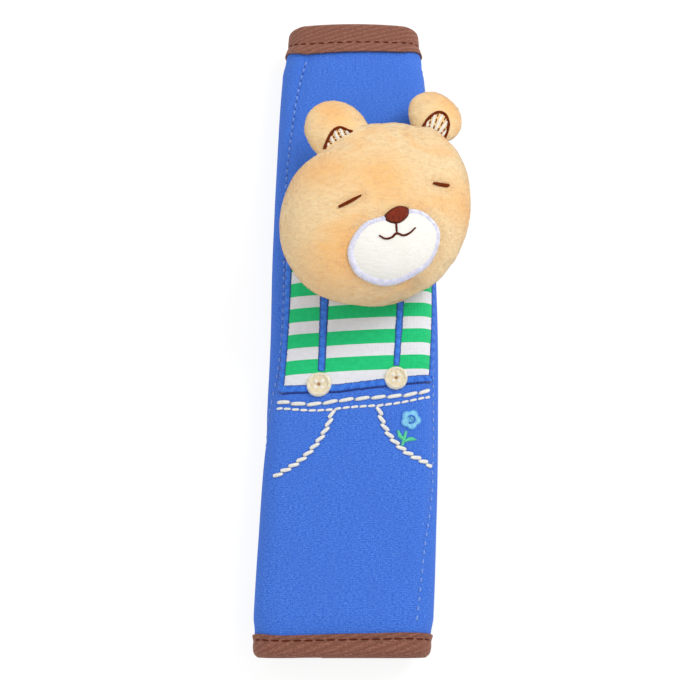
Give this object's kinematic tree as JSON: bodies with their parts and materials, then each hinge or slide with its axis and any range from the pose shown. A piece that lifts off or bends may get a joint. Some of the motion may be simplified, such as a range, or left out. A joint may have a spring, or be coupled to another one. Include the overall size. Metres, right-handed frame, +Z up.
{
  "type": "seat belt shoulder pad",
  "caption": "Padded fabric sleeve that closes round a car seat belt with hook and loop tape, with a soft bear head and embroidered dungarees on its front.",
  "frame": {"origin": "middle of the underside of the whole pad, as it lies on its back", "axes": "+Z up from the closed back to the bear's face, +Y along the sleeve to the end nearer the head, +X to the right as seen facing the bear"},
  "size_m": [0.0902, 0.278, 0.0629],
  "materials": {
    "jersey": "blue cotton jersey, fine knit, matte",
    "foam": "soft polyester wadding sheet",
    "lining": "blue woven lining, matte",
    "binding_tape": "brown twill tape, matte",
    "dark_thread": "dark brown thread",
    "cream_thread": "off-white embroidery thread",
    "fastener": "dark blue hook and loop tape",
    "shirt_white": "white cotton knit",
    "shirt_green": "green cotton knit stripe",
    "satin_blue": "blue satin stitch",
    "button_cream": "cream satin stitch",
    "flower_blue": "light blue satin stitch",
    "leaf_green": "light green satin stitch",
    "plush": "short tan plush, soft and matte",
    "stuffing": "loose polyester fibre",
    "muzzle_cloth": "off-white short plush",
    "muzzle_satin": "pale lilac satin stitch",
    "nose_brown": "red-brown satin stitch"
  },
  "bodies": {
    "root": {"outer_cover": "jersey", "foam_core": "foam", "inner_lining": "lining", "top_binding": "binding_tape", "bottom_binding": "binding_tape", "top_binding_stitches": "dark_thread", "bottom_binding_stitches": "dark_thread", "hook_tape": "fastener", "loop_tape": "fastener", "striped_panel": "shirt_white", "green_stripe_1": "shirt_green", "green_stripe_2": "shirt_green", "green_stripe_3": "shirt_green", "green_stripe_4": "shirt_green", "green_stripe_5": "shirt_green", "panel_border": "satin_blue", "left_suspender": "satin_blue", "right_suspender": "satin_blue", "left_button": "button_cream", "left_button_centre": "nose_brown", "right_button": "button_cream", "right_button_centre": "nose_brown", "waist_upper_stitches": "cream_thread", "waist_lower_stitches": "cream_thread", "left_pocket_stitches": "cream_thread", "right_pocket_stitches": "cream_thread", "flower_blossom": "flower_blue", "flower_centre": "satin_blue", "flower_stem": "leaf_green", "flower_left_leaf": "leaf_green", "flower_right_leaf": "leaf_green", "head_front_cover": "plush", "head_back_cover": "plush", "head_stuffing": "stuffing", "left_ear_front": "plush", "left_ear_back": "plush", "left_ear_stuffing": "stuffing", "left_ear_arch": "nose_brown", "left_ear_lattice": "cream_thread", "right_ear_front": "plush", "right_ear_back": "plush", "right_ear_stuffing": "stuffing", "right_ear_arch": "nose_brown", "right_ear_lattice": "cream_thread", "muzzle_patch": "muzzle_cloth", "muzzle_border": "muzzle_satin", "nose": "nose_brown", "mouth_line": "dark_thread", "mouth_stem": "dark_thread", "left_eye": "dark_thread", "right_eye": "dark_thread"}
  },
  "joints": []
}
